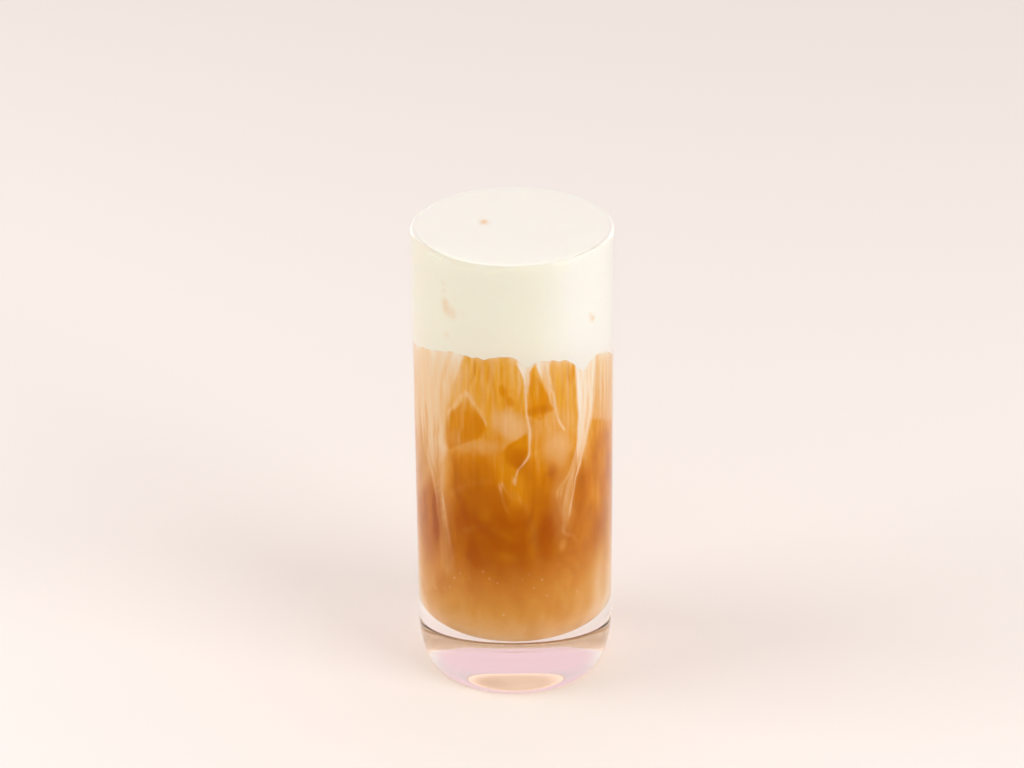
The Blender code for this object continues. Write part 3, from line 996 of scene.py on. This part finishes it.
def foam_material():
    """Salted milk foam, whipped with cream: close, smooth and satin, with hair-fine bubbles."""
    made, tree, shader = new_material("salted_milk_foam")
    place = add(tree, "ShaderNodeTexCoord").outputs["Object"]
    read = {key: add(tree, "ShaderNodeAttribute", {"attribute_name": key}).outputs["Fac"]
            for key in ("tan", "walled", "thick", "shade")}
    cloud = add(tree, "ShaderNodeTexNoise", {}, {
        "Vector": place, "Scale": 1.0 / (14.0 * MM), "Detail": 3.0})
    bare = add(tree, "ShaderNodeMix", {"data_type": "RGBA"}, {
        0: cloud.outputs["Fac"], 6: srgb("FBF9EF"), 7: srgb("FCFBF3")})
    # Foam against the glass, painted whiter where thick is set, as painted light from the right
    against = add(tree, "ShaderNodeMix", {"data_type": "RGBA"}, {
        0: read["thick"], 6: behind_glass("FDF6E2"), 7: behind_glass("FEFAF0")})
    colour = add(tree, "ShaderNodeMix", {"data_type": "RGBA"}, {
        0: read["walled"], 6: bare.outputs[2], 7: against.outputs[2]})
    shaded = add(tree, "ShaderNodeMix", {"data_type": "RGBA"}, {
        0: read["shade"], 6: colour.outputs[2], 7: srgb("CFC5A6")})
    spotted = add(tree, "ShaderNodeMix", {"data_type": "RGBA"}, {
        0: read["tan"], 6: shaded.outputs[2], 7: srgb("F0C79A")})
    tree.links.new(spotted.outputs[2], shader.inputs["Base Color"])
    fine = add(tree, "ShaderNodeTexNoise", {}, {
        "Vector": place, "Scale": 1.0 / (0.7 * MM), "Detail": 2.0})
    relief = add(tree, "ShaderNodeBump", {}, {
        "Height": fine.outputs["Fac"], "Strength": 0.15, "Distance": 0.05 * MM})
    tree.links.new(relief.outputs["Normal"], shader.inputs["Normal"])
    shader.inputs["Roughness"].default_value = 0.5
    shader.inputs["IOR"].default_value = 1.38
    shader.inputs["Specular IOR Level"].default_value = 0.3
    shader.inputs["Subsurface Weight"].default_value = 0.3
    shader.inputs["Subsurface Radius"].default_value = (1.0, 0.85, 0.6)
    shader.inputs["Subsurface Scale"].default_value = 2.0 * MM
    return made


def ice_material():
    """Clear ice, wet and slightly clouded."""
    made, _, shader = new_material("clouded_ice")
    shader.inputs["Base Color"].default_value = srgb("F3E2C8")
    shader.inputs["Roughness"].default_value = 0.12
    shader.inputs["IOR"].default_value = 1.31
    shader.inputs["Transmission Weight"].default_value = 0.8
    return made


def make_studio():
    """A pale floor, a soft light from the right, a weaker one from the left, and a warm pale room."""
    mesh = bpy.data.meshes.new("floor")
    rim = [(4.0 * math.cos(t), 4.0 * math.sin(t), -0.05 * MM) for t in columns(64)]
    mesh.from_pydata(rim, [], [list(range(64))])
    floor = bpy.data.objects.new("floor", mesh)
    bpy.context.scene.collection.objects.link(floor)
    made, _, shader = new_material("pale_floor")
    shader.inputs["Base Color"].default_value = srgb("F7F1ED")
    shader.inputs["Roughness"].default_value = 0.7
    mesh.materials.append(made)

    world = bpy.data.worlds.new("soft_room")
    bpy.context.scene.world = world
    world.use_nodes = True
    tree = world.node_tree
    way = add(tree, "ShaderNodeTexCoord").outputs["Generated"]
    parts = add(tree, "ShaderNodeSeparateXYZ", {}, {0: way})
    behind = add(tree, "ShaderNodeMapRange", {"interpolation_type": "SMOOTHSTEP"}, {
        "Value": parts.outputs["Y"], "From Min": 0.35, "From Max": 0.75})
    low = add(tree, "ShaderNodeMapRange", {"interpolation_type": "SMOOTHSTEP"}, {
        "Value": parts.outputs["Z"], "From Min": 0.92, "From Max": 0.84})
    high = add(tree, "ShaderNodeMapRange", {"interpolation_type": "SMOOTHSTEP"}, {
        "Value": parts.outputs["Z"], "From Min": 0.25, "From Max": 0.85})
    rosy = add(tree, "ShaderNodeMath", {"operation": "MULTIPLY"}, {0: behind.outputs[0], 1: low.outputs[0]})
    walls = add(tree, "ShaderNodeMix", {"data_type": "RGBA"}, {
        0: high.outputs[0], 6: srgb("FFFFFC"), 7: srgb("CFCFC9")})
    tone = add(tree, "ShaderNodeMix", {"data_type": "RGBA"}, {
        0: rosy.outputs[0], 6: walls.outputs[2], 7: srgb("F3CFD4")})
    back = tree.nodes["Background"]
    tree.links.new(tone.outputs[2], back.inputs["Color"])
    back.inputs["Strength"].default_value = 0.98

    for name, place, size, energy in (
        ("key", (1.20, -0.85, 0.36), 1.0, 20.0),
        ("fill", (-1.20, -0.14, 0.32), 0.9, 11.5),
    ):
        light = bpy.data.lights.new(name, "AREA")
        light.size = size
        light.energy = energy
        lamp = bpy.data.objects.new(name, light)
        lamp.location = place
        lamp.rotation_mode = "QUATERNION"
        lamp.rotation_quaternion = (Vector((0, 0, 0.08)) - lamp.location).to_track_quat("-Z", "Y")
        bpy.context.scene.collection.objects.link(lamp)


# The camera as fitted to the photo's outline of the glass
CAMERA_ELEVATION = math.radians(26.37)
CAMERA_DISTANCE = 1.014
CAMERA_AIM = Vector((-0.46 * MM, 0.0, 96.25 * MM))
CAMERA_ROLL = math.radians(-0.46)
CAMERA_LENS = 114.26


def make_camera():
    """The camera in front of the glass, looking down on it with a long lens."""
    back = Vector((0.0, -math.cos(CAMERA_ELEVATION), math.sin(CAMERA_ELEVATION)))
    data = bpy.data.cameras.new("camera")
    data.sensor_width = 36.0
    data.lens = CAMERA_LENS
    data.clip_start = 0.01
    data.clip_end = 20.0
    camera = bpy.data.objects.new("camera", data)
    camera.location = CAMERA_AIM + back * CAMERA_DISTANCE
    camera.rotation_mode = "QUATERNION"
    camera.rotation_quaternion = (-back).to_track_quat("-Z", "Y") @ Quaternion((0, 0, 1), CAMERA_ROLL)
    bpy.context.scene.collection.objects.link(camera)
    bpy.context.scene.camera = camera


def dress(piece, material, slot, *nodes):
    """Finish a piece: its material, the body that it rides on and the nodes that it replaces."""
    piece.data.materials.append(material)
    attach(piece, "root")
    if nodes:
        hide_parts(*nodes)


make_camera()
make_studio()
dress(make_glass(), glass_material(), "clear_glass", "glass")
dress(make_tea(), tea_material(), "milky_tea", "tea")
dress(make_foam(), foam_material(), "milk_foam", "foam")
clouded_ice = ice_material()
for cube in make_ice():
    dress(cube, clouded_ice, "milky_tea")
dress(make_strands(), cream_material("sinking_cream", "EABB82", "F4D3A8"), "milk_foam")
dress(make_bubbles(), cream_material("milk_specks", "E9B673", "F2CB94"), "milk_foam")
bpy.context.scene.view_settings.view_transform = "Standard"
